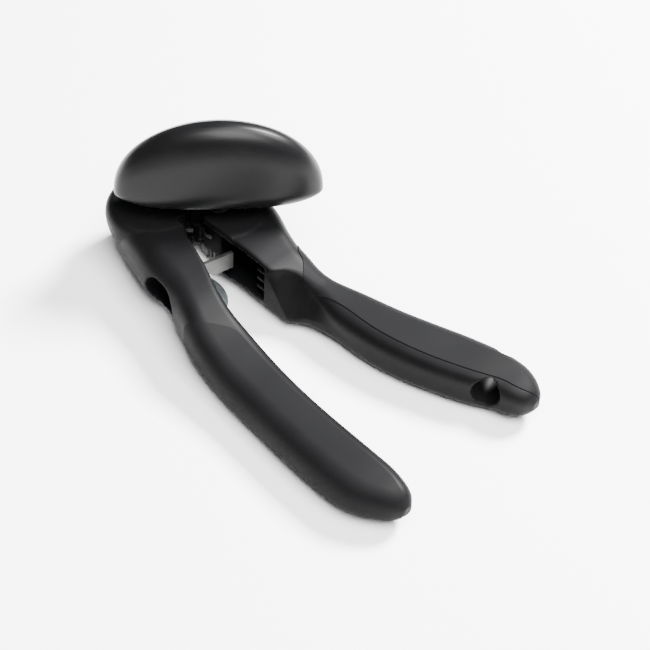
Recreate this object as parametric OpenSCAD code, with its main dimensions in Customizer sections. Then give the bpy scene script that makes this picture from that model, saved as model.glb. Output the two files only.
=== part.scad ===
// Hand can opener: two hinged handles, a turning knob over the head and a pair of wheels under it.
// Drawn about the hinge axis with the heads' top face at Z = 0 and the handles towards -Y, then
// shifted so that the opener stands on Z = 0 under the middle of its box.

/* [Head] */
// Depth of both moulded heads, from top face to underside
head_t = 24; // [23:0.5:25]
// Radius of the round end of the left head, about the hinge
head_r = 20.5; // [19:0.5:21]
// Radius of the lugs that the two heads hinge on
lug_r = 14; // [12:0.5:15]
// Distance from the hinge axis to the flat inner face of the right head
face_x = 8; // [7.5:0.5:8.5]
// Radius of the right head round the drive shaft
boss_r = 22; // [20:0.5:23]

/* [Handles] */
// How far the top of each handle lies below the top of the head
handle_drop = 10.5; // [9:0.5:12]
// Thickness of the soft grip let into each handle
grip_t = 2.5; // [1.5:0.1:3]
// Diameter of the hanging hole
hang_d = 11.8; // [8:0.2:12]

/* [Knob] */
// Length of the turning knob
knob_l = 85; // [74:1:86]
// Height of the top of the knob above the head
knob_top = 43; // [36:1:46]
// Thickness of the knob at its base
knob_w = 27; // [24:1:30]
// Angle of the knob as it stands, about its shaft
knob_turn = -41; // [-90:1:90]
// Wall thickness of the knob
knob_wall = 2.8; // [2:0.1:3.5]

/* [Wheels] */
// Radius of the cutting wheel
cutter_r = 13; // [11:0.5:13]
// Lean of the cutting wheel towards the handles, in degrees
cutter_tilt = 8; // [4:1:9]
// Radius of the toothed feed wheel
feed_r = 7; // [6:0.5:7.5]
// Number of teeth on the feed wheel
feed_teeth = 20; // [16:1:26]

/* [Shaft and fits] */
// Radius of the drive shaft
shaft_r = 3; // [2.8:0.1:3.2]
// Radius of the hinge pin
pin_r = 2.5; // [2.2:0.1:2.8]
// Radial clearance of every running fit
fit = 0.05; // [0.02:0.01:0.1]
// Gap between faces that move past each other
gap = 0.4; // [0.3:0.1:0.6]

/* [Hidden] */
$fn = 64;
over = 1;                                   // how far a cutter runs past the face that it cuts
big = 80;

shaft = [18, -19.2];                        // drive shaft's axis, from the hinge axis
cutter = [-8.2, -34, -26.6];                // middle of the cutting wheel
floor_z = -29.6;                            // the surface that the opener stands on
middle = [5.4, -75.26];                     // middle of the whole object's box in plan

// Layers of the hinge: left lug, washer, right lug, washer, left lug
lug_h = head_t / 3;
washer_t = 0.8;
right_lug = [-head_t + lug_h + washer_t, -lug_h - washer_t];

// Drive shaft, from the wheel end to the knob end
feed_h = 4;
feed_z = -24.8;
bush_flange = [5.3, 1];
bush_r = 4.6;
shaft_square = 4.2;
thread_r = 2;
wheel_pocket_z = feed_z + feed_h + washer_t;
knob_base_z = 4;
hub_r = 7;
hub_h = 22;

// Hanging hole: height, and the angle that its axis makes with X
hang_z = -17.6;
hang_turn = 22;

// Cavity in the right head's inner face
cavity = [-57, -15.5];
cavity_z = [-22.4, -3.5];

// Right handle, by row: y, inner x, outer x, top z, bottom z, inner and outer corner radius, and how much
// further out the inner side's top edge lies
right_rows = [
    [-24, face_x, 39, 0, -head_t, 1.5, 6, 0],
    [-36, face_x, 36.5, 0, -head_t, 1.5, 7, 0],
    [-48, face_x, 31.8, -0.5, -head_t, 1.5, 7.5, 0],
    [-58, face_x, 29.8, -2, -head_t - 0.5, 2, 8, 1],
    [-68, face_x, 29.6, -5.8, -head_t - 1.8, 3, 8, 7],
    [-76, face_x + 4.5, 32, -8.3, -27.5, 5, 8, 5],
    [-88, face_x + 7.9, 36.3, 0.8 - handle_drop, -29, 6, 8, 0],
    [-104, face_x + 8.8, 41, 0.4 - handle_drop, floor_z, 6, 8.5, 0],
    [-118, face_x + 11.2, 45.6, 0.3 - handle_drop, floor_z, 6, 8.5, 0],
    [-132, face_x + 15.5, 50.6, -handle_drop, floor_z, 6, 8.5, 0],
    [-146, face_x + 21, 54.3, -handle_drop, -29.4, 6, 8.5, 0],
    [-156, face_x + 26, 55.2, -handle_drop - 0.5, -28.8, 6, 8, 0],
    [-163, face_x + 28, 53.6, -handle_drop - 1.2, -27.5, 6, 7.5, 0],
    [-168, face_x + 31, 50.4, -handle_drop - 3, -25.4, 4.5, 6, 0],
    [-170.6, face_x + 35, 46.8, -handle_drop - 6.2, -22, 2.2, 2.2, 0]
];

// Left handle, by row, in the same order
left_rows = [
    [-6, 3, -19.5, 0, -20, 1.5, 9, 0],
    [-22, -2.5, -26, 0, 0.6 - head_t, 1.5, 10.5, 0],
    [-38, -7.5, -28, -0.5, -head_t - 0.5, 2, 9.5, 0],
    [-50, -12, -31.8, -1.5, -25.5, 3, 8.5, 0],
    [-61, -14.5, -35.9, -4, -26.8, 4, 8, 0],
    [-73, -15, -38.6, -7.5, -28.2, 5, 8, 0],
    [-87, -16, -40.6, -9.8, -29.3, 6, 8.5, 0],
    [-102, -17.7, -41.7, -handle_drop, floor_z, 6, 8.5, 0],
    [-118, -19, -43.2, -handle_drop, floor_z, 6, 8.5, 0],
    [-134, -19.6, -44.2, -handle_drop, floor_z, 6, 8.5, 0],
    [-148, -20, -44.2, -handle_drop, -29.2, 6, 8.5, 0],
    [-156, -20.2, -42.2, -handle_drop - 0.3, -28.4, 6, 8, 0],
    [-163, -21.2, -38.5, -handle_drop - 1, -27.6, 6, 7.5, 0],
    [-168, -23, -34.5, -handle_drop - 3, -25.8, 4.5, 5.5, 0],
    [-171, -26, -30.5, -handle_drop - 6.5, -22.5, 2.2, 2.2, 0]
];

// Half section of the knob: share of the half width, share of the height
knob_half = [
    [0.42, 0], [0.66, 0.045], [0.86, 0.1], [0.97, 0.18], [1, 0.27], [0.95, 0.4],
    [0.87, 0.54], [0.77, 0.68], [0.64, 0.8], [0.49, 0.9], [0.31, 0.965], [0.12, 1]
];

// ---- Shapes shared by several parts ----

// Smooth curve through four values, between the middle two
function smooth(a, b, c, d, t) = 0.5 * (2 * b + (c - a) * t + (2 * a - 5 * b + 4 * c - d) * t * t
    + (3 * b - a - 3 * c + d) * t * t * t);

// A row at position u along the table, where whole numbers are the rows themselves
function row_at(rows, u) = let (
    i = min(floor(u), len(rows) - 2),
    before = rows[max(i - 1, 0)],
    after = rows[min(i + 2, len(rows) - 1)]
) [for (k = [0:len(rows[0]) - 1]) smooth(before[k], rows[i][k], rows[i + 1][k], after[k], u - i)];

// Ring of points round one section of a handle, with a rounded corner of five steps at each corner
corner_steps = 5;
function section(r, skin = 0) = let (
    side = sign(r[2] - r[1]),
    half = min(abs(r[2] - r[1]), r[3] - r[4]) / 2 - skin - 0.2,
    inner = min(max(r[5] - skin, 1), half),
    outer = min(max(r[6] - skin, 1), half),
    x_in = r[1] + side * (inner + skin),
    x_top = x_in + side * r[7],
    x_out = r[2] - side * (outer + skin),
    corners = [
        [x_out, r[3] - skin - outer, outer, 0], [x_top, r[3] - skin - inner, inner, 90],
        [x_in, r[4] + skin + inner, inner, 180], [x_out, r[4] + skin + outer, outer, 270]
    ]
) [for (c = corners) for (k = [0:corner_steps]) let (a = c[3] + 90 * k / corner_steps)
    [c[0] + side * c[2] * cos(a), r[0], c[1] + c[2] * sin(a)]
];

// Closed solid through a list of rings with equal numbers of points
module loft(rings, flip = false) {
    n = len(rings[0]);
    m = len(rings);
    mesh = concat(
        [[for (k = [0:n - 1]) k]],
        [for (i = [0:m - 2]) for (k = [0:n - 1]) each let (p = i * n + k, q = i * n + (k + 1) % n)
            [[p, p + n, q + n], [p, q + n, q]]],
        [[for (k = [n - 1:-1:0]) (m - 1) * n + k]]
    );
    polyhedron(
        points = [for (r = rings) each r],
        faces = flip ? [for (f = mesh) [for (k = [len(f) - 1:-1:0]) f[k]]] : mesh
    );
}

module handle_body(rows, flip, skin = 0, rings_per_row = 2) {
    last = len(rows) - 1;
    loft([for (i = [0:last * rings_per_row]) section(row_at(rows, i / rings_per_row), skin)], flip);
}

// Ring turned about Z between two heights
module ring(r_out, r_in, z_low, z_high) {
    difference() {
        translate([0, 0, z_low]) cylinder(r = r_out, h = z_high - z_low);
        translate([0, 0, z_low - over]) cylinder(r = r_in, h = z_high - z_low + 2 * over);
    }
}

module slab(z_low, z_high) {
    translate([0, 0, z_low]) linear_extrude(z_high - z_low) children();
}

module at_shaft() {
    translate([shaft[0], shaft[1], 0]) children();
}

// Places a child on the cutting wheel's own leaning axis
module at_cutter() {
    translate(cutter) rotate([cutter_tilt, 0, 0]) children();
}

// Shifts everything from the hinge axis to the middle of the box, standing on Z = 0
module place() {
    translate([-middle[0], -middle[1], -floor_z]) children();
}

// Area of a handle that the soft grip covers, seen from above: from its outer side to a seam
// that starts at the outer side and runs along near the inner side
module grip_area(rows, first) {
    last = len(rows) - 2;
    side = sign(rows[first][2] - rows[first][1]);
    seam = [for (u = [first:0.5:last]) let (
        r = row_at(rows, u),
        t = min((u - first) / 2, 1),
        into = (r[2] - r[1]) * (1 - t * t * (3 - 2 * t)) * 1.1
    ) [r[1] + side * 5.5 + into, r[0]]];
    polygon(concat(seam, [
        [rows[last][1] + side * 9, rows[last][0] - 4],
        [rows[last][2] + side * 9, rows[last][0] - 4],
        [rows[first][2] + side * 20, rows[first][0]]
    ]));
}

module grip_zone(rows, flip, first) {
    difference() {
        slab(-big / 2, 0) grip_area(rows, first);
        handle_body(rows, flip, grip_t);
    }
}

// ---- Right body: carries the drive shaft ----

module right_head_plan() {
    difference() {
        union() {
            translate(shaft) circle(boss_r);
            intersection() {
                circle(head_r);
                translate([0.8, -big]) square([big, 2 * big]);
            }
            rotate(atan2(shaft[1], shaft[0])) translate([0, -4]) square([norm(shaft), head_r + 4]);
        }
        translate([face_x - big, -big - 7]) square([big, big]);
        translate([0.8 - big, -over]) square([big, big]);
    }
}

module shaft_housing_cut() {
    at_shaft() translate([0, 0, wheel_pocket_z - over]) cylinder(r = bush_r, h = big);
}

// Room under the head for the feed wheel, open towards the other handle for a can's rim
module feed_pocket() {
    at_shaft() translate([0, 0, -big]) cylinder(r = feed_r + 1, h = big + wheel_pocket_z);
    translate([face_x - over, shaft[1] - feed_r - 1, -big])
        cube([shaft[0] - face_x + over, 2 * feed_r + 2, big + wheel_pocket_z]);
}

// The head's inner corner is cut back next to the lugs, above and below the hinge plate
module corner_cut() {
    for (z = [[right_lug[1], big], [-big, right_lug[0]]])
        slab(z[0], z[1]) polygon([[5, -8], [11, -17.4], [8, -20.6], [5, -20.6]]);
}

module head_cavity() {
    slab(cavity_z[0], cavity_z[1]) polygon([
        [face_x - 5, cavity[1] - 3], [face_x + 2.5, cavity[1] - 3], [face_x + 3, -28], [25, -29.5],
        [27, -35], [24, cavity[0] + 9], [15, cavity[0] + 2], [face_x - 5, cavity[0]]
    ]);
}

module plate_plan() {
    circle(8);
    translate(shaft) circle(8);
    rotate(atan2(shaft[1], shaft[0])) translate([0, -4]) square([norm(shaft), 10]);
}

module hinge_plate() {
    color("silver") place() difference() {
        slab(-head_t / 2 - 1, -head_t / 2 + 1) difference() {
            union() {
                plate_plan();
            }
            circle(pin_r + fit);
            translate(shaft) circle(bush_r);
        }
    }
}

module right_core_cuts() {
    // left lugs' room above and below the right lug
    translate([0, 0, right_lug[1]]) cylinder(r = lug_r + gap, h = big);
    translate([0, 0, right_lug[0] - big]) cylinder(r = lug_r + gap, h = big);
    translate([0, 0, -big / 2]) cylinder(r = pin_r + fit, h = big);
    shaft_housing_cut();
    feed_pocket();
    head_cavity();
    corner_cut();
    slab(-head_t / 2 - 1, -head_t / 2 + 1) plate_plan();
    hang_bore();
}

module hang_bore() {
    translate([43.5, -150, hang_z]) rotate([0, -90, hang_turn]) cylinder(r = hang_d / 2, h = big, center = true);
}

module right_handle() {
    color("#2b2b2d") place() difference() {
        union() {
            slab(-head_t, 0) right_head_plan();
            translate([0, 0, right_lug[0]]) cylinder(r = lug_r, h = right_lug[1] - right_lug[0]);
            handle_body(right_rows, false);
        }
        right_core_cuts();
        grip_zone(right_rows, false, 3);
    }
}

module right_grip() {
    color("#242426") place() difference() {
        intersection() {
            handle_body(right_rows, false);
            grip_zone(right_rows, false, 3);
        }
        hang_bore();
    }
}

module shaft_bushing() {
    color("#8f8f88") place() at_shaft() difference() {
        union() {
            translate([0, 0, wheel_pocket_z]) cylinder(r = bush_r, h = -wheel_pocket_z);
            cylinder(r = bush_flange[0], h = bush_flange[1]);
        }
        translate([0, 0, -big / 2]) cylinder(r = shaft_r + fit, h = big);
    }
}

// ---- Drive: knob, shaft and feed wheel ----

module drive_shaft() {
    color("silver") place() at_shaft() {
        difference() {
            translate([0, 0, feed_z + feed_h])
                cylinder(r = shaft_r, h = knob_base_z + hub_h - feed_z - feed_h);
            knob_pin_hole();
        }
        translate([-shaft_square / 2, -shaft_square / 2, feed_z]) cube([shaft_square, shaft_square, feed_h]);
        translate([0, 0, floor_z + 2]) cylinder(r = thread_r, h = feed_z - floor_z - 2);
    }
}

module thrust_washer() {
    color("#c8c8c4") place() at_shaft()
        ring(5.6, shaft_r, feed_z + feed_h, feed_z + feed_h + washer_t - 0.15);
}

module feed_wheel() {
    pitch = 360 / feed_teeth;
    color("#b9b9b5") place() at_shaft() slab(feed_z, feed_z + feed_h) difference() {
        polygon([for (i = [0:feed_teeth - 1]) each [
            [feed_r * cos((i - 0.12) * pitch), feed_r * sin((i - 0.12) * pitch)],
            [feed_r * cos((i + 0.12) * pitch), feed_r * sin((i + 0.12) * pitch)],
            [(feed_r - 0.9) * cos((i + 0.5) * pitch), (feed_r - 0.9) * sin((i + 0.5) * pitch)]
        ]]);
        square(shaft_square, center = true);
    }
}

module lock_washer() {
    color("silver") place() at_shaft() ring(4.4, thread_r, feed_z - 1, feed_z);
}

module shaft_nut() {
    nut_h = 3.4;
    color("silver") place() at_shaft() difference() {
        union() {
            translate([0, 0, feed_z - 1 - nut_h]) cylinder(r = 4.6, h = nut_h, $fn = 6);
            intersection() {
                translate([0, 0, floor_z + 4]) sphere(r = 4);
                translate([0, 0, floor_z]) cylinder(r = 4, h = feed_z - 1 - floor_z);
            }
        }
        translate([0, 0, floor_z + 2]) cylinder(r = thread_r, h = big);
    }
}

// Rings of the knob along its length, pulled in by a wall thickness
function knob_rings(wall, z_low, steps = 24) = [for (i = [0:steps]) let (
    a = -87 + 174 * i / steps,
    u = (knob_l / 2 - wall) * sin(a),
    c = cos(a),
    low = z_low + 5 * pow(abs(sin(a)), 4),
    high = 9 + (knob_top - wall - 9) * c + 0.3,
    half = (knob_w / 2 - wall) * pow(c, 0.75)
) concat(
    [for (p = knob_half) [u, p[0] * half, low + (high - low) * p[1]]],
    [for (k = [len(knob_half) - 1:-1:0]) let (p = knob_half[k]) [u, -p[0] * half, low + (high - low) * p[1]]]
)];

module knob_space(wall, z_low) {
    at_shaft() rotate(knob_turn) loft(knob_rings(wall, z_low));
}

module knob() {
    color("#232325") place() difference() {
        knob_space(0, knob_base_z);
        knob_space(knob_wall, knob_base_z - 2 * over);
    }
}

module knob_base() {
    color("#232325") place() difference() {
        intersection() {
            knob_space(knob_wall, knob_base_z - 2 * over);
            slab(knob_base_z + 0.6, knob_base_z + 2.6) at_shaft() circle(knob_l);
        }
        at_shaft() translate([0, 0, -big / 2]) cylinder(r = shaft_r, h = big);
    }
}

module knob_hub() {
    color("#3a3a3c") place() at_shaft() difference() {
        union() {
            translate([0, 0, knob_base_z + 2.6]) cylinder(r = hub_r, h = hub_h - 1);
            for (a = [0, 180]) rotate(knob_turn + a)
                translate([hub_r - 1, -1, knob_base_z + 2.6]) cube([22, 2, 14]);
        }
        translate([0, 0, -big / 2]) cylinder(r = shaft_r, h = knob_base_z + hub_h + big / 2);
        knob_pin_hole();
    }
}

module knob_pin_hole() {
    translate([0, 0, 17]) rotate([90, 0, knob_turn]) cylinder(r = 1, h = 2 * hub_r, center = true);
}

module knob_pin() {
    color("silver") place() at_shaft() knob_pin_hole();
}

// ---- Left body: carries the cutting wheel ----

module left_head_plan() {
    difference() {
        circle(head_r);
        translate([-0.4, 0]) square([big, big]);
        translate([-0.4, -big]) square([big, big]);
    }
}

// Room under the left head for the cutting wheel and its washer
module cutter_pocket() {
    at_cutter() translate([0, 0, -big]) cylinder(r = cutter_r + 1.2, h = big + 2.1);
}

bracket_z = [-22.6, -20.6];
module bracket_plan() {
    translate([cutter[0], cutter[1]]) rotate(65) {
        circle(5.6);
        translate([-20, -5.6]) square([20, 11.2]);
    }
}

module cap_pocket() {
    depth = 62;
    translate([-big, -32.8, -13.8]) rotate([0, 90, 0]) linear_extrude(depth) union() {
        for (y = [-1.8, 1.8]) translate([0, y]) circle(8);
        square([16, 3.6], center = true);
    }
}

// Round end of the left head: straight at the top, drawn in towards its underside
module left_head_end() {
    intersection() {
        rotate_extrude() polygon([
            [0, 0], [head_r - 1, 0], [head_r - 0.3, -0.4], [head_r, -1.2], [head_r, -7], [head_r - 0.8, -11],
            [head_r - 2.2, -15], [head_r - 4.2, -19.5], [head_r - 5.6, -22], [head_r - 7.5, -head_t], [0, -head_t]
        ]);
        slab(-head_t - over, over) left_head_plan();
    }
}

module left_handle() {
    color("#2b2b2d") place() difference() {
        union() {
            left_head_end();
            translate([0, 0, -head_t]) cylinder(r = lug_r, h = head_t);
            handle_body(left_rows, true);
        }
        translate([0, 0, -head_t + lug_h]) cylinder(r = lug_r + gap, h = head_t - 2 * lug_h);
        translate([0, 0, -big / 2]) cylinder(r = pin_r, h = big);
        translate([0, 0, -2]) cylinder(r = 5, h = big);
        translate([0, 0, -head_t + 2.5 - big]) cylinder(r = 5, h = big);
        cutter_pocket();
        slab(bracket_z[0], bracket_z[1]) bracket_plan();
        at_cutter() cylinder(r = 4.6, h = 8.6);
        screw_cuts();
        slab(-big, bracket_z[0]) head_room();
        cap_pocket();
        guide_solid();
        grip_zone(left_rows, true, 3);
    }
}

module left_grip() {
    color("#242426") place() intersection() {
        handle_body(left_rows, true);
        grip_zone(left_rows, true, 3);
    }
}

module cutter_bracket() {
    color("silver") place() difference() {
        slab(bracket_z[0], bracket_z[1]) bracket_plan();
        at_cutter() cylinder(r = 2.5, h = 9);
        screw_cuts();
    }
}

// Room for the screw heads
module head_room() {
    translate([cutter[0], cutter[1]]) rotate(65) for (x = [-8.5, -11])
        translate([x, x > -10 ? 2.8 : -2.8]) circle(2.4);
}

// Screws that hold the bracket up under the left head
module screw_cuts() {
    for (x = [-8.5, -11]) translate([cutter[0], cutter[1], bracket_z[0] - 0.5]) rotate(65)
        translate([x, x > -10 ? 2.8 : -2.8, 0]) cylinder(r = 1.2, h = 8);
}

module screw_heads(r) {
    for (x = [-8.5, -11]) translate([cutter[0], cutter[1], bracket_z[0] - 0.9]) rotate(65)
        translate([x, x > -10 ? 2.8 : -2.8, 0]) cylinder(r = r, h = 0.9);
}

module bracket_screws() {
    color("silver") place() {
        screw_cuts();
        screw_heads(2.1);
    }
}

module cutter_wheel() {
    color("#9aa5aa") place() at_cutter() rotate_extrude() polygon([
        [2.5 + fit, -0.9], [9.5, -0.9], [cutter_r, -0.15], [cutter_r, 0.05], [9.5, 0.9], [2.5 + fit, 0.9]
    ]);
}

module cutter_washer() {
    color("#c8c8c4") place() difference() {
        at_cutter() ring(4.4, 2.5, 1.05, 6);
        slab(bracket_z[0], 0) circle(big);
    }
}

module cutter_axle() {
    color("silver") place() at_cutter() rotate_extrude() polygon([
        [0, -2.3], [2.6, -2.2], [4.2, -1.8], [4.6, -1.05], [2.5, -1.05], [2.5, 6.9], [3.5, 6.9], [3.1, 7.9], [0, 7.9]
    ]);
}

// Flat steel strap that slides in the right head's cavity as the handles move
module guide_solid() {
    translate([-3.7, -33.3, 0]) rotate([0, 0, -12]) rotate([90, 0, 0]) linear_extrude(1.5) polygon([
        [-12, -8.5], [13.3, -8.5], [13.3, -17], [4, -17], [-3, -10], [-12, -10]
    ]);
}

module guide_strap() {
    color("silver") place() guide_solid();
}

module pivot_pin() {
    color("silver") place() {
        translate([0, 0, -head_t + 0.5]) cylinder(r = pin_r, h = head_t - 2.5);
        translate([0, 0, -2]) cylinder(r = 4.8, h = 1);
    }
}

// Black cap that covers the pin's head
module pivot_cap() {
    color("#1c1c1e") place() translate([0, 0, -0.95]) cylinder(r = 4.9, h = 0.75);
}

module pivot_nut() {
    color("silver") place() ring(4.6, pin_r, -head_t + 0.6, -head_t + 2.5);
}

module pivot_washers() {
    color("#d8d8d0") place() for (z = [-lug_h, -head_t + lug_h + washer_t])
        ring(9, pin_r + fit, z - washer_t + 0.1, z - 0.1);
}

right_handle();
right_grip();
hinge_plate();
shaft_bushing();
drive_shaft();
thrust_washer();
feed_wheel();
lock_washer();
shaft_nut();
knob();
knob_base();
knob_hub();
knob_pin();
left_handle();
left_grip();
cutter_bracket();
bracket_screws();
guide_strap();
cutter_wheel();
cutter_washer();
cutter_axle();
pivot_pin();
pivot_cap();
pivot_nut();
pivot_washers();
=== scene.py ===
import math

import bmesh
import bpy
from mathutils import Matrix, Vector


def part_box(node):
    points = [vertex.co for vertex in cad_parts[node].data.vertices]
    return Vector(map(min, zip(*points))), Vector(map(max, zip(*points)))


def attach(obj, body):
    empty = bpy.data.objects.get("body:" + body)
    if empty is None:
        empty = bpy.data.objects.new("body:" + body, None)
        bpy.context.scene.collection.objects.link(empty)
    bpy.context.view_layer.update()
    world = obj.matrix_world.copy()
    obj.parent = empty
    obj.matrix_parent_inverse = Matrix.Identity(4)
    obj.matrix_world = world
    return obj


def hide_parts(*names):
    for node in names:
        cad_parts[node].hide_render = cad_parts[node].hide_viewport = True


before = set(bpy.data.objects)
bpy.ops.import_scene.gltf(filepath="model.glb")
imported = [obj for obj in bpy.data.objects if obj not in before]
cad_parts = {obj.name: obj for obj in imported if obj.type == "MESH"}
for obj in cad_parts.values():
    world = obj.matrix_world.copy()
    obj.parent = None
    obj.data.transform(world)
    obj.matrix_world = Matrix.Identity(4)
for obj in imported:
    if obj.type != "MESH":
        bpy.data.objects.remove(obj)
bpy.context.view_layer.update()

# Hand can opener: moulded bodies, soft grips, satin knob and steel working parts.
# Lengths in the tables below are millimetres from the hinge axis and the heads' top face.

MM = 0.001
pin_low, pin_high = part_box("pivot_pin")
plate_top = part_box("hinge_plate")[1][2]
PLATE_TOP_Z = -11.0
ORIGIN = Vector((
    (pin_low[0] + pin_high[0]) / 2, (pin_low[1] + pin_high[1]) / 2, plate_top - PLATE_TOP_Z * MM
))

HEAD_T = 24.0
HEAD_R = 20.5
LUG_R = 14.0
LUG_ROOM = 0.4                # gap left round the lug in both heads
LUG_LOW, LUG_HIGH = -15.2, -8.8
SLOT_LOW, SLOT_HIGH = -16.0, -8.0
PIN_BORE_R = 2.75
PIN_HEAD_R = 5.0
SHAFT_BORE_R = 4.6
FACE_X = 8.0                  # plane of the right head's inner side
BOSS_R = 22.0
DROP = 10.5
FLOOR = -29.6
SHAFT = (18.0, -19.2)
CUTTER = (-8.2, -34.0, -26.6)
CUTTER_R = 13.0
CUTTER_TILT = math.radians(8)
SEAM_STEP = 0.35              # how far the grips stand proud of the bodies
GRIP_EDGE = 5.5               # how far the grips' seam stays from the inner side
FEED_R = 7.0
FEED_TEETH = 20
FEED_LOW = -24.8
FEED_H = 4.0
POCKET_TOP = -20.0
FAR = 60.0                    # beyond everything, for cutters
BODY_VOXEL = 0.52
EASE_PASSES = 3
CORNER_CUT = ((5, -8), (11, -17.4), (8, -20.6), (5, -20.6))
HANG_R = 5.9
HANG_TURN = math.radians(22)
HANG = (43.5, -150.0, -17.6)
KNOB_L = 85.0
KNOB_TOP = 43.0
KNOB_W = 27.0
KNOB_TURN = math.radians(-41)
KNOB_BASE = 4.0

# y, inner x, outer x, top z, bottom z, inner and outer corner radius, lean of the inner side's top edge,
# height where the inner side starts to lean
RIGHT_ROWS = [
    (-24, FACE_X, 39, 0, -HEAD_T, 1.5, 6, 0, -9),
    (-36, FACE_X, 36.5, 0, -HEAD_T, 1.5, 7, 0, -9),
    (-48, FACE_X, 31.8, -0.5, -HEAD_T, 1.5, 7.5, 0, -9),
    (-56, FACE_X, 30, -1.8, -HEAD_T - 0.4, 1.5, 8, 0, -9),
    (-59.5, FACE_X, 29.7, -2.6, -24.8, 1.5, 8, 1, -9),
    (-62.5, FACE_X, 29.6, -3.6, -25.2, 2, 8, 5.5, -12),
    (-66, FACE_X, 29.6, -5, -25.7, 2.5, 8, 8.4, -17),
    (-69.5, FACE_X + 0.3, 29.9, -6.3, -26.3, 3, 8, 9, -22),
    (-72.5, FACE_X + 2.6, 30.6, -7.3, -26.8, 3.5, 8, 7, -22.5),
    (-77, FACE_X + 5.2, 32.2, -8.5, -27.6, 5, 8, 4.3, -21),
    (-88, FACE_X + 7.9, 36.3, 0.8 - DROP, -29, 6, 8, 0, -20),
    (-104, FACE_X + 8.8, 41, 0.4 - DROP, FLOOR, 6, 8.5, 0, -20),
    (-118, FACE_X + 11.2, 45.6, 0.3 - DROP, FLOOR, 6, 8.5, 0, -20),
    (-132, FACE_X + 15.5, 50.6, -DROP, FLOOR, 6, 8.5, 0, -20),
    (-146, FACE_X + 21, 54.3, -DROP, -29.4, 6, 8.5, 0, -20),
    (-156, FACE_X + 26, 55.2, -DROP - 0.5, -28.8, 6, 8, 0, -20),
    (-163, FACE_X + 28, 53.6, -DROP - 1.2, -27.5, 6, 7.5, 0, -20),
    (-168, FACE_X + 31, 50.4, -DROP - 3, -25.4, 4.5, 6, 0, -20),
    (-170.6, FACE_X + 35, 46.8, -DROP - 6.2, -22, 2.2, 2.2, 0, -19.4),
]
LEFT_ROWS = [
    (1, 3, -19.6, -0.1, -23.4, 1.5, 8.5, 0, -12),
    (-11, 0.6, -23.2, 0, -23.6, 1.5, 9.5, 0, -12),
    (-23, -2.8, -26.3, 0, -23.8, 1.5, 10, 0, -12),
    (-38, -7.5, -28.3, -0.5, -HEAD_T - 0.5, 2, 9.5, 0, -12),
    (-50, -12, -31.8, -1.5, -25.5, 3, 8.5, 0, -13),
    (-61, -14.5, -35.6, -4, -26.8, 4, 8, 0, -15),
    (-73, -15, -38.2, -7.5, -28.2, 5, 8, 0, -18),
    (-87, -16, -40.2, -9.8, -29.3, 6, 8.5, 0, -20),
    (-102, -17.7, -41.5, -DROP, FLOOR, 6, 8.5, 0, -20),
    (-118, -19, -43, -DROP, FLOOR, 6, 8.5, 0, -20),
    (-134, -19.6, -44, -DROP, FLOOR, 6, 8.5, 0, -20),
    (-148, -20, -44, -DROP, -29.2, 6, 8.5, 0, -20),
    (-156, -20.2, -42.2, -DROP - 0.3, -28.4, 6, 8, 0, -20),
    (-163, -21.2, -38.5, -DROP - 1, -27.6, 6, 7.5, 0, -20),
    (-168, -23, -34.5, -DROP - 3, -25.8, 4.5, 5.5, 0, -20),
    (-171, -26, -30.5, -DROP - 6.5, -22.5, 2.2, 2.2, 0, -19.8),
]
RIGHT_SEAM = (2, 27.0)
LEFT_SEAM = (4, 22.0)
# share of the knob's half width, share of its height
KNOB_HALF = [
    (0.42, 0), (0.66, 0.045), (0.86, 0.1), (0.97, 0.18), (1, 0.27), (0.95, 0.4),
    (0.87, 0.54), (0.77, 0.68), (0.64, 0.8), (0.49, 0.9), (0.31, 0.965), (0.12, 1),
]


# ---- Shapes -------------------------------------------------------------------------------------

def place(x, y, z):
    """A point of the opener's own drawing, in metres in the shared frame."""
    return ORIGIN + Vector((x, y, z)) * MM


def curve_through(a, b, c, d, t):
    """Smooth curve between b and c."""
    square = 2 * a - 5 * b + 4 * c - d
    cube = 3 * b - a - 3 * c + d
    return 0.5 * (2 * b + (c - a) * t + square * t * t + cube * t ** 3)


def row_at(rows, u):
    """The table's row at position u, where whole numbers are the rows themselves."""
    i = min(int(u), len(rows) - 2)
    before, after = rows[max(i - 1, 0)], rows[min(i + 2, len(rows) - 1)]
    here, ahead_row = rows[i], rows[i + 1]
    return [curve_through(before[k], here[k], ahead_row[k], after[k], u - i) for k in range(len(here))]


def handle_section(row, skin, steps):
    """Ring of points round one section of a handle, with rounded corners."""
    side = 1 if row[2] > row[1] else -1
    half = min(abs(row[2] - row[1]), row[3] - row[4]) / 2 - skin - 0.2
    inner = min(max(row[5] - skin, 1), half)
    outer = min(max(row[6] - skin, 1), half)
    x_in = row[1] + side * (inner + skin)
    x_out = row[2] - side * (outer + skin)
    corners = [
        (x_out, row[3] - skin - outer, outer, 0), (x_in + side * row[7], row[3] - skin - inner, inner, 90),
        (x_in, row[4] + skin + inner, inner, 180), (x_out, row[4] + skin + outer, outer, 270),
    ]
    ring = []
    for cx, cz, r, start in corners:
        for k in range(steps + 1):
            a = math.radians(start + 90 * k / steps)
            ring.append(place(cx + side * r * math.cos(a), row[0], cz + r * math.sin(a)))
        if start == 90:
            ring.append(place(row[1] + side * skin, row[0], row[8]))
    return ring


def new_object(name, bm):
    """A mesh object at the origin from a bmesh, with its faces turned outwards."""
    bmesh.ops.recalc_face_normals(bm, faces=bm.faces)
    mesh = bpy.data.meshes.new(name)
    bm.to_mesh(mesh)
    bm.free()
    obj = bpy.data.objects.new(name, mesh)
    bpy.context.scene.collection.objects.link(obj)
    return obj


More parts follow.
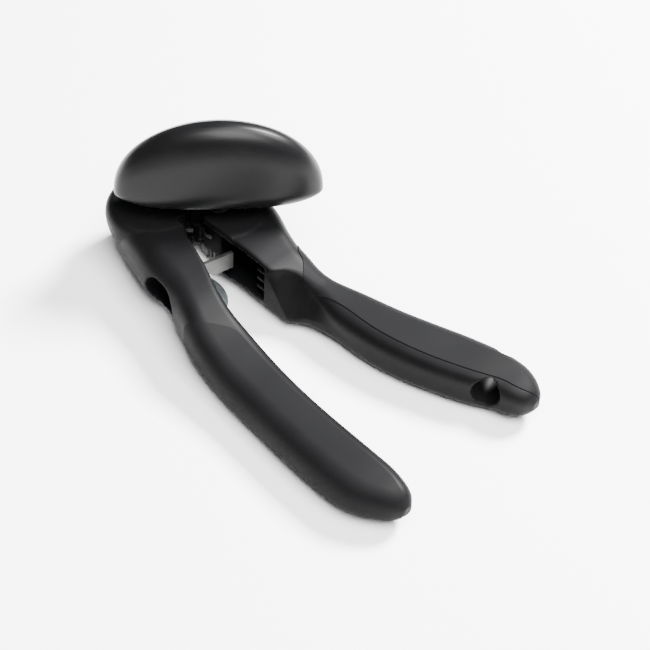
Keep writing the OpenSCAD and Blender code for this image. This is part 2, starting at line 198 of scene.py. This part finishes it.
def skin_rings(name, rings):
    """Closed skin through a list of rings."""
    bm = bmesh.new()
    loops = [[bm.verts.new(p) for p in ring] for ring in rings]
    n = len(rings[0])
    for a, b in zip(loops, loops[1:]):
        for k in range(n):
            bm.faces.new((a[k], a[(k + 1) % n], b[(k + 1) % n], b[k]))
    bm.faces.new(loops[0])
    bm.faces.new(list(reversed(loops[-1])))
    return new_object(name, bm)


def handle_solid(name, rows, skin=0.0, per_row=10, steps=10):
    last = (len(rows) - 1) * per_row
    return skin_rings(name, [handle_section(row_at(rows, i / per_row), skin, steps) for i in range(last + 1)])


def prism(name, outline, z_low, z_high):
    """Upright prism on a plan outline."""
    return skin_rings(name, [[place(x, y, z) for x, y in outline] for z in (z_low, z_high)])


def lathe(name, profile, centre, steps=128, tilt=0.0):
    """Solid of revolution from radius and height pairs, on an upright or leaning axis."""
    turn = Matrix.Rotation(tilt, 3, "X")
    rings = []
    for r, z in profile:
        ring = []
        for k in range(steps):
            a = 2 * math.pi * k / steps
            p = turn @ Vector((r * math.cos(a), r * math.sin(a), z))
            ring.append(place(centre[0] + p.x, centre[1] + p.y, (centre[2] if len(centre) > 2 else 0) + p.z))
        rings.append(ring)
    return skin_rings(name, rings)


def drum(name, centre, r, z_low, z_high, tilt=0.0, steps=128):
    return lathe(name, [(r, z_low), (r, z_high)], centre, steps, tilt)


def rounded_profile(r, z_low, z_high, edge_low, edge_high, steps=8):
    """Half outline of a drum whose two rims are rounded."""
    out = [(max(r - edge_low, 0.01), z_low)]
    for k in range(1, steps + 1):
        a = math.pi / 2 * k / steps
        out.append((r - edge_low + edge_low * math.sin(a), z_low + edge_low - edge_low * math.cos(a)))
    for k in range(steps + 1):
        a = math.pi / 2 * k / steps
        out.append((r - edge_high + edge_high * math.cos(a), z_high - edge_high + edge_high * math.sin(a)))
    return out


def block(name, low, high):
    outline = [(low[0], low[1]), (high[0], low[1]), (high[0], high[1]), (low[0], high[1])]
    return prism(name, outline, low[2], high[2])


def evaluated_copy(obj):
    """Turns an object's modifiers into its mesh."""
    graph = bpy.context.evaluated_depsgraph_get()
    mesh = bpy.data.meshes.new_from_object(obj.evaluated_get(graph))
    old = obj.data
    obj.modifiers.clear()
    obj.data = mesh
    bpy.data.meshes.remove(old)
    return obj


def combine(obj, tools, operation):
    """Adds or cuts a list of closed solids, which are used up."""
    for tool in tools:
        mod = obj.modifiers.new("join", "BOOLEAN")
        mod.operation = operation
        mod.solver = "MANIFOLD"
        mod.object = tool
        evaluated_copy(obj)
        mesh = tool.data
        bpy.data.objects.remove(tool)
        bpy.data.meshes.remove(mesh)
    return obj


def soften(obj, voxel, passes):
    """Fine even mesh whose edges are eased, as a moulding's are."""
    mod = obj.modifiers.new("even", "REMESH")
    mod.mode = "VOXEL"
    mod.voxel_size = voxel * MM
    evaluated_copy(obj)
    mod = obj.modifiers.new("ease", "SMOOTH")
    mod.factor = 0.5
    mod.iterations = passes
    evaluated_copy(obj)
    obj.data.polygons.foreach_set("use_smooth", [True] * len(obj.data.polygons))
    return obj


def grip_outline(rows, first, sweep):
    """Plan area that the soft grip covers, whose seam sweeps from the outer side to the inner one."""
    last = len(rows) - 2
    side = 1 if rows[first][2] > rows[first][1] else -1
    seam = []
    for i in range((last - first) * 8 + 1):
        r = row_at(rows, first + i / 8)
        t = min((rows[first][0] - r[0]) / sweep, 1)
        into = (r[2] - r[1] - side * GRIP_EDGE) * (1 - t * t * (3 - 2 * t)) * 1.1
        seam.append((r[1] + side * (GRIP_EDGE + r[7] * (1 - t)) + into, r[0]))
    end, start = rows[last], rows[first]
    return seam + [
        (end[1] + side * 9, end[0] - 4), (end[2] + side * 9, end[0] - 4), (start[2] + side * 20, start[0])
    ]


def grip_solid(name, rows, seam):
    """Grip that stands a hair proud of the body, with a crisp seam."""
    grip = prism(name, grip_outline(rows, *seam), -FAR, 10)
    return combine(grip, [handle_solid("outer", rows, 0.0, 8, 10)], "INTERSECT")


def smooth_by_angle(obj, degrees):
    obj.data.polygons.foreach_set("use_smooth", [True] * len(obj.data.polygons))
    obj.data.set_sharp_from_angle(angle=math.radians(degrees))
    return obj


def repeat_tree():
    """Node tree that repeats a part: each copy moved and turned on from the last, about a centre."""
    tree = bpy.data.node_groups.new("repeat", "GeometryNodeTree")
    face = tree.interface
    face.new_socket("Geometry", in_out="INPUT", socket_type="NodeSocketGeometry")
    names = {}
    for label, kind in (("Count", "Int"), ("Step", "Vector"), ("Turn", "Float"), ("Centre", "Vector"),
                        ("Material", "Material")):
        names[label] = face.new_socket(label, in_out="INPUT", socket_type="NodeSocket" + kind).identifier
    face.new_socket("Geometry", in_out="OUTPUT", socket_type="NodeSocketGeometry")
    nodes, links = tree.nodes, tree.links
    given = nodes.new("NodeGroupInput").outputs
    index = nodes.new("GeometryNodeInputIndex").outputs["Index"]
    moved = nodes.new("ShaderNodeVectorMath")
    moved.operation = "SCALE"
    links.new(given["Step"], moved.inputs[0])
    links.new(index, moved.inputs["Scale"])
    turned = nodes.new("ShaderNodeMath")
    turned.operation = "MULTIPLY"
    links.new(given["Turn"], turned.inputs[0])
    links.new(index, turned.inputs[1])
    angles = nodes.new("ShaderNodeCombineXYZ")
    links.new(turned.outputs[0], angles.inputs["Z"])
    points = nodes.new("GeometryNodePoints")
    links.new(given["Count"], points.inputs["Count"])
    links.new(moved.outputs["Vector"], points.inputs["Position"])
    copies = nodes.new("GeometryNodeInstanceOnPoints")
    links.new(points.outputs[0], copies.inputs["Points"])
    links.new(given["Geometry"], copies.inputs["Instance"])
    links.new(angles.outputs["Vector"], copies.inputs["Rotation"])
    real = nodes.new("GeometryNodeRealizeInstances")
    links.new(copies.outputs["Instances"], real.inputs["Geometry"])
    shifted = nodes.new("GeometryNodeTransform")
    links.new(real.outputs["Geometry"], shifted.inputs["Geometry"])
    links.new(given["Centre"], shifted.inputs["Translation"])
    dressed = nodes.new("GeometryNodeSetMaterial")
    links.new(shifted.outputs["Geometry"], dressed.inputs["Geometry"])
    links.new(given["Material"], dressed.inputs["Material"])
    links.new(dressed.outputs["Geometry"], nodes.new("NodeGroupOutput").inputs["Geometry"])
    return tree, names


REPEAT, REPEAT_NAMES = repeat_tree()


def repeated(obj, mat, **values):
    """Repeats a part by the node tree above and keeps the result as its mesh."""
    mod = obj.modifiers.new("repeat", "NODES")
    mod.node_group = REPEAT
    for label, value in values.items():
        mod[REPEAT_NAMES[label]] = value
    mod[REPEAT_NAMES["Material"]] = mat
    return evaluated_copy(obj)


# ---- Finishes -----------------------------------------------------------------------------------

def material(name, build):
    mat = bpy.data.materials.new(name)
    mat.use_nodes = True
    nodes, links = mat.node_tree.nodes, mat.node_tree.links
    shader = nodes["Principled BSDF"]
    coords = nodes.new("ShaderNodeTexCoord").outputs["Object"]
    build(nodes, links, shader, coords)
    return mat


def noise(nodes, links, coords, scale, detail=3.0, rough=0.55, stretch=None):
    source = coords
    if stretch:
        mapping = nodes.new("ShaderNodeMapping")
        mapping.inputs["Scale"].default_value = stretch
        links.new(coords, mapping.inputs["Vector"])
        source = mapping.outputs["Vector"]
    tex = nodes.new("ShaderNodeTexNoise")
    tex.inputs["Scale"].default_value = scale
    tex.inputs["Detail"].default_value = detail
    tex.inputs["Roughness"].default_value = rough
    links.new(source, tex.inputs["Vector"])
    return tex.outputs["Fac"]


def spread(nodes, links, value, low, high, from_low=0.3, from_high=0.7):
    node = nodes.new("ShaderNodeMapRange")
    node.inputs["From Min"].default_value = from_low
    node.inputs["From Max"].default_value = from_high
    node.inputs["To Min"].default_value = low
    node.inputs["To Max"].default_value = high
    links.new(value, node.inputs["Value"])
    return node.outputs["Result"]


def tint(nodes, links, value, dark, light):
    ramp = nodes.new("ShaderNodeValToRGB")
    ramp.color_ramp.elements[0].color = (*dark, 1)
    ramp.color_ramp.elements[1].color = (*light, 1)
    ramp.color_ramp.elements[0].position = 0.3
    ramp.color_ramp.elements[1].position = 0.7
    links.new(value, ramp.inputs["Fac"])
    return ramp.outputs["Color"]


def bump(nodes, links, height, strength, distance, under=None):
    node = nodes.new("ShaderNodeBump")
    node.inputs["Strength"].default_value = strength
    node.inputs["Distance"].default_value = distance
    links.new(height, node.inputs["Height"])
    if under:
        links.new(under, node.inputs["Normal"])
    return node.outputs["Normal"]


def moulded_plastic(nodes, links, shader, coords):
    broad = noise(nodes, links, coords, 60, 2)
    grain = noise(nodes, links, coords, 2600, 2, 0.6)
    shade = tint(nodes, links, broad, (0.0034, 0.0034, 0.0037), (0.0044, 0.0044, 0.0048))
    links.new(shade, shader.inputs["Base Color"])
    links.new(spread(nodes, links, broad, 0.44, 0.52), shader.inputs["Roughness"])
    links.new(bump(nodes, links, grain, 0.25, 0.00004), shader.inputs["Normal"])
    shader.inputs["Specular IOR Level"].default_value = 0.06


def soft_grip(nodes, links, shader, coords):
    broad = noise(nodes, links, coords, 45, 3)
    grain = noise(nodes, links, coords, 3400, 3, 0.6)
    shade = tint(nodes, links, broad, (0.0036, 0.0036, 0.0039), (0.0047, 0.0047, 0.0051))
    links.new(shade, shader.inputs["Base Color"])
    links.new(spread(nodes, links, broad, 0.56, 0.64), shader.inputs["Roughness"])
    links.new(bump(nodes, links, grain, 0.3, 0.00004), shader.inputs["Normal"])
    shader.inputs["Specular IOR Level"].default_value = 0.05
    shader.inputs["Sheen Weight"].default_value = 0.002
    shader.inputs["Sheen Roughness"].default_value = 0.5


def satin_plastic(nodes, links, shader, coords):
    broad = noise(nodes, links, coords, 50, 2)
    grain = noise(nodes, links, coords, 2200, 2, 0.6)
    shade = tint(nodes, links, broad, (0.0030, 0.0030, 0.0033), (0.0040, 0.0040, 0.0043))
    links.new(shade, shader.inputs["Base Color"])
    links.new(spread(nodes, links, broad, 0.30, 0.36), shader.inputs["Roughness"])
    links.new(bump(nodes, links, grain, 0.14, 0.00003), shader.inputs["Normal"])
    shader.inputs["Specular IOR Level"].default_value = 0.13


def metal(base_dark, base_light, rough_low, rough_high, stretch, depth=0.2):
    def build(nodes, links, shader, coords):
        streak = noise(nodes, links, coords, 900, 3, 0.6, stretch)
        patch = noise(nodes, links, coords, 120, 3)
        links.new(tint(nodes, links, patch, base_dark, base_light), shader.inputs["Base Color"])
        links.new(spread(nodes, links, streak, rough_low, rough_high), shader.inputs["Roughness"])
        links.new(bump(nodes, links, streak, depth, 0.00003), shader.inputs["Normal"])
        shader.inputs["Metallic"].default_value = 1.0
    return build


def nylon(nodes, links, shader, coords):
    broad = noise(nodes, links, coords, 200, 2)
    links.new(tint(nodes, links, broad, (0.66, 0.66, 0.62), (0.74, 0.74, 0.70)), shader.inputs["Base Color"])
    links.new(spread(nodes, links, broad, 0.40, 0.5), shader.inputs["Roughness"])
    shader.inputs["Subsurface Weight"].default_value = 0.05
    shader.inputs["Subsurface Scale"].default_value = 0.001


PLASTIC = material("moulded_plastic", moulded_plastic)
GRIP = material("soft_grip", soft_grip)
SATIN = material("satin_plastic", satin_plastic)
STEEL = material("brushed_steel", metal((0.14, 0.14, 0.135), (0.19, 0.19, 0.185), 0.30, 0.46, (0.05, 1, 1)))
CUTTER_STEEL = material("cutter_steel", metal((0.30, 0.34, 0.36), (0.42, 0.46, 0.48), 0.34, 0.5, (1, 1, 1)))
SINTERED = material(
    "sintered_metal", metal((0.10, 0.10, 0.10), (0.16, 0.16, 0.155), 0.42, 0.6, (1, 1, 1), 0.5))
NYLON = material("pale_nylon", nylon)


def finish_with(obj, mat):
    obj.data.materials.clear()
    obj.data.materials.append(mat)
    return obj


# ---- Right body ---------------------------------------------------------------------------------

def bar_between(name, p, q, near, far, z_low, z_high, r, steps=8):
    """Straight bar in plan from p to q, from near to far across, rounded along its far edges."""
    along = Vector((q[0] - p[0], q[1] - p[1])).normalized()
    across = Vector((-along.y, along.x))
    outline = [(near, z_low)]
    for k in range(steps + 1):
        a = math.pi / 2 * k / steps
        outline.append((far - r + r * math.sin(a), z_low + r - r * math.cos(a)))
    for k in range(steps + 1):
        a = math.pi / 2 * k / steps
        outline.append((far - r + r * math.cos(a), z_high - r + r * math.sin(a)))
    outline.append((near, z_high))
    rings = []
    for end in (p, q):
        rings.append([place(end[0] + across.x * s, end[1] + across.y * s, z) for s, z in outline])
    return skin_rings(name, rings)


def right_shape():
    body = handle_solid("right_body", RIGHT_ROWS, SEAM_STEP)
    boss = lathe("boss", rounded_profile(BOSS_R, -HEAD_T, 0, 3, 3), SHAFT)
    combine(boss, [block("half", (-FAR, -80, -FAR), (FACE_X, -7, 20))], "DIFFERENCE")
    end = lathe("end", rounded_profile(HEAD_R, -HEAD_T, 0, 3, 2), (0, 0))
    combine(end, [
        block("half", (-FAR, -FAR, -FAR), (0.8, FAR, 20)), block("half", (-FAR, -FAR, -FAR), (FACE_X, -7, 20)),
    ], "DIFFERENCE")
    bar = bar_between("bar", (0, 0), SHAFT, -4, HEAD_R, -HEAD_T, 0, 3)
    combine(bar, [
        block("half", (-FAR, -FAR, -FAR), (FACE_X, -7, 20)), block("half", (-FAR, -1, -FAR), (0.8, FAR, 20)),
    ], "DIFFERENCE")
    combine(body, [boss, end, bar], "UNION")
    combine(body, [
        drum("over_lug", (0, 0), LUG_R + LUG_ROOM, LUG_HIGH, 20),
        drum("under_lug", (0, 0), LUG_R + LUG_ROOM, -FAR, LUG_LOW),
    ], "DIFFERENCE")
    combine(body, [drum("lug", (0, 0), LUG_R, LUG_LOW, LUG_HIGH)], "UNION")
    combine(body, [
        drum("pin_bore", (0, 0), PIN_BORE_R, -FAR, 20),
        drum("shaft_bore", SHAFT, SHAFT_BORE_R, -21, 20),
        drum("wheel_pocket", SHAFT, FEED_R + 1, -FAR, POCKET_TOP),
        block("rim_notch", (FACE_X - 2, SHAFT[1] - FEED_R - 1, -FAR),
              (SHAFT[0], SHAFT[1] + FEED_R + 1, POCKET_TOP)),
        prism("corner_above", CORNER_CUT, LUG_HIGH, 20),
        prism("corner_below", CORNER_CUT, -FAR, LUG_LOW),
        prism("cavity", [
            (FACE_X - 5, -18.5), (FACE_X + 2.5, -18.5), (FACE_X + 3, -28), (25, -29.5), (27, -35), (24, -48),
            (15, -55), (FACE_X - 5, -57)
        ], -22.4, -3.5),
    ], "DIFFERENCE")
    return combine(body, [hanging_hole()], "DIFFERENCE")


def hanging_hole():
    """Cutter for the round hole through the end of the right handle."""
    axis = Vector((math.cos(HANG_TURN), math.sin(HANG_TURN)))
    across = Vector((-axis.y, axis.x))
    rings = []
    for s in (-40, 40):
        ring = []
        for k in range(96):
            a = 2 * math.pi * k / 96
            w = HANG_R * math.cos(a)
            ring.append(place(HANG[0] + axis.x * s + across.x * w, HANG[1] + axis.y * s + across.y * w,
                              HANG[2] + HANG_R * math.sin(a)))
        rings.append(ring)
    return skin_rings("hole", rings)


right_body = right_shape()
soften(right_body, BODY_VOXEL, EASE_PASSES)
finish_with(right_body, PLASTIC)

right_grip = grip_solid("right_grip_skin", RIGHT_ROWS, RIGHT_SEAM)
combine(right_grip, [hanging_hole()], "DIFFERENCE")
smooth_by_angle(right_grip, 40)
finish_with(right_grip, GRIP)


# ribs that stiffen the far end of the hollow in the head
RIB = ((9.2, -57.5), (16, -55.6), (24.2, -48.6), (20.5, -46.8), (9.2, -51.5))
rib = prism("hollow_ribs", RIB, -8.6, -7.5)
ribs = repeated(rib, PLASTIC, Count=3, Step=(0.0, 0.0, -0.0046), Turn=0.0, Centre=(0.0, 0.0, 0.0))

# toothed wheel under the head: one tooth, repeated round the shaft
def feed_wheel_shape():
    half = math.pi / FEED_TEETH
    outline = []
    for r, a in ((FEED_R - 1.2, -0.95 * half), (FEED_R, -0.3 * half), (FEED_R, 0.3 * half),
                 (FEED_R - 1.2, 0.95 * half), (2.6, 0.95 * half), (2.6, -0.95 * half)):
        outline.append(Vector((r * math.cos(a), r * math.sin(a))) * MM)
    centre = place(SHAFT[0], SHAFT[1], FEED_LOW)
    rings = [[Vector((p.x, p.y, z)) for p in outline] for z in (0.0, FEED_H * MM)]
    tooth = skin_rings("toothed_wheel", rings)
    repeated(tooth, SINTERED, Count=FEED_TEETH, Step=(0.0, 0.0, 0.0), Turn=2 * half, Centre=tuple(centre))
    core = drum("core", SHAFT, FEED_R - 1.1, FEED_LOW + 0.02, FEED_LOW + FEED_H - 0.02)
    combine(core, [drum("bore", SHAFT, 2.8, -FAR, 20)], "DIFFERENCE")
    finish_with(core, SINTERED)
    bm = bmesh.new()
    bm.from_mesh(tooth.data)
    bm.from_mesh(core.data)
    bm.to_mesh(tooth.data)
    bm.free()
    bpy.data.objects.remove(core)
    return tooth


toothed_wheel = feed_wheel_shape()


# ---- Left body ----------------------------------------------------------------------------------

def left_shape():
    body = handle_solid("left_body", LEFT_ROWS, SEAM_STEP)
    end = lathe("end", [
        (HEAD_R - 7.5, -HEAD_T), (HEAD_R - 5.6, -22), (HEAD_R - 4.2, -19.5), (HEAD_R - 2.2, -15),
        (HEAD_R - 0.8, -11), (HEAD_R - 0.2, -8), (HEAD_R, -5), (HEAD_R - 0.3, -3), (HEAD_R - 1, -1.5),
        (HEAD_R - 2, -0.5), (HEAD_R - 3.4, 0),
    ], (0, 0))
    combine(end, [block("half", (-0.4, -FAR, -FAR), (FAR, FAR, 20))], "DIFFERENCE")
    combine(body, [end, drum("lug", (0, 0), LUG_R, -HEAD_T, 0)], "UNION")
    combine(body, [
        drum("lug_slot", (0, 0), LUG_R + LUG_ROOM, SLOT_LOW, SLOT_HIGH),
        drum("pin_head", (0, 0), PIN_HEAD_R, -2, 20),
        drum("pin_nut", (0, 0), PIN_HEAD_R, -FAR, -21.5),
        drum("cutter_pocket", CUTTER, CUTTER_R + 1.2, -FAR, 2.1, CUTTER_TILT),
    ], "DIFFERENCE")
    outline = []
    for k in range(64):
        a = 2 * math.pi * k / 64
        y = -32.8 + 8 * math.cos(a) + (1.8 if math.cos(a) > 0 else -1.8)
        outline.append((y, -13.8 + 8 * math.sin(a)))
    pocket = skin_rings("cap_pocket", [[place(x, y, z) for y, z in outline] for x in (-FAR, -18)])
    return combine(body, [pocket], "DIFFERENCE")


left_body = left_shape()
soften(left_body, BODY_VOXEL, EASE_PASSES)
finish_with(left_body, PLASTIC)

left_grip = smooth_by_angle(grip_solid("left_grip_skin", LEFT_ROWS, LEFT_SEAM), 40)
finish_with(left_grip, GRIP)


# ---- Knob ---------------------------------------------------------------------------------------

def knob_shape(steps=120, per_part=4):
    """Half-moon knob, drawn from a smooth half section that narrows and drops towards both ends."""
    half_section = []
    count = (len(KNOB_HALF) - 1) * per_part
    for i in range(count + 1):
        half_section.append(row_at(KNOB_HALF, i / per_part))
    c, s = math.cos(KNOB_TURN), math.sin(KNOB_TURN)
    rings = []
    for i in range(steps + 1):
        a = math.radians(-88.5 + 177 * i / steps)
        u = KNOB_L / 2 * math.sin(a)
        low = KNOB_BASE + 5 * abs(math.sin(a)) ** 4
        high = 9 + (KNOB_TOP - 9) * math.cos(a) + 0.3
        half = KNOB_W / 2 * math.cos(a) ** 0.75
        right = []
        for share, up in half_section:
            dish = 1 - 0.05 * math.sin(math.pi * min(up, 1)) ** 2 * math.cos(a) ** 2
            right.append((share * half * dish, low + (high - low) * up))
        ring = right + [(-v, z) for v, z in reversed(right)]
        rings.append([place(SHAFT[0] + u * c - v * s, SHAFT[1] + u * s + v * c, z) for v, z in ring])
    knob = skin_rings("knob_shell", rings)
    knob.data.polygons.foreach_set("use_smooth", [True] * len(knob.data.polygons))
    return knob


knob_shell = knob_shape()
finish_with(knob_shell, SATIN)


# ---- Rides, finishes of the carried-over parts ---------------------------------------------------

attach(right_body, "right")
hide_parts("right_handle")
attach(right_grip, "right")
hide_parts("right_grip")
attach(left_body, "left")
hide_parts("left_handle")
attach(left_grip, "left")
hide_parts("left_grip")
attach(knob_shell, "drive")
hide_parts("knob", "knob_base")
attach(toothed_wheel, "drive")
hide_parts("feed_wheel")
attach(ribs, "right")

CARRIED = {
    "hinge_plate": STEEL, "shaft_bushing": SINTERED, "drive_shaft": STEEL, "thrust_washer": NYLON,
    "lock_washer": STEEL, "shaft_nut": STEEL, "knob_hub": PLASTIC, "knob_pin": STEEL,
    "cutter_bracket": STEEL, "bracket_screws": STEEL, "guide_strap": STEEL, "cutter_wheel": CUTTER_STEEL,
    "cutter_washer": NYLON, "cutter_axle": STEEL, "pivot_pin": STEEL, "pivot_cap": PLASTIC,
    "pivot_nut": STEEL, "pivot_washers": NYLON,
}
for node, mat in CARRIED.items():
    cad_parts[node].data.materials.clear()
    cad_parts[node].data.materials.append(mat)


# ---- Floor, light and camera ---------------------------------------------------------------------

def floor_finish(nodes, links, shader, coords):
    broad = noise(nodes, links, coords, 3, 2)
    shade = tint(nodes, links, broad, (0.955, 0.955, 0.96), (0.965, 0.965, 0.97))
    links.new(shade, shader.inputs["Base Color"])
    shader.inputs["Roughness"].default_value = 0.9
    shader.inputs["Specular IOR Level"].default_value = 0.1


bm = bmesh.new()
corners = [bm.verts.new((x, y, -0.0001)) for x, y in ((-4, -4), (4, -4), (4, 4), (-4, 4))]
bm.faces.new(corners)
floor = new_object("floor", bm)
floor.data.materials.append(material("pale_floor", floor_finish))


def soft_light(name, position, target, size, power):
    light = bpy.data.lights.new(name, "AREA")
    light.shape = "RECTANGLE"
    light.size, light.size_y = size
    light.energy = power
    obj = bpy.data.objects.new(name, light)
    obj.location = position
    obj.rotation_euler = (Vector(target) - Vector(position)).to_track_quat("-Z", "Y").to_euler()
    bpy.context.scene.collection.objects.link(obj)


world = bpy.data.worlds.new("studio")
world.use_nodes = True
world.node_tree.nodes["Background"].inputs["Color"].default_value = (1, 1, 1, 1)
world.node_tree.nodes["Background"].inputs["Strength"].default_value = 0.25
bpy.context.scene.world = world
soft_light("key", (0.85, -0.1, 0.95), (0, 0, 0), (0.35, 0.35), 120)
soft_light("top", (-0.12, -0.5, 1.25), (0, 0, 0), (0.9, 0.9), 64)

camera = bpy.data.objects.new("camera", bpy.data.cameras.new("camera"))
camera.data.lens = 100.8
camera.data.sensor_width = 36
camera.data.clip_end = 20
across = Vector((0.70491, -0.70807, 0.04169))
upward = Vector((0.49813, 0.53604, 0.68156))
ahead = across.cross(-upward).normalized()
turn = Matrix((across, upward, -ahead)).transposed().to_4x4()
camera.matrix_world = Matrix.Translation(place(-353.1, -419.9, 513.6)) @ turn
bpy.context.scene.collection.objects.link(camera)
bpy.context.scene.camera = camera

bpy.context.view_layer.update()
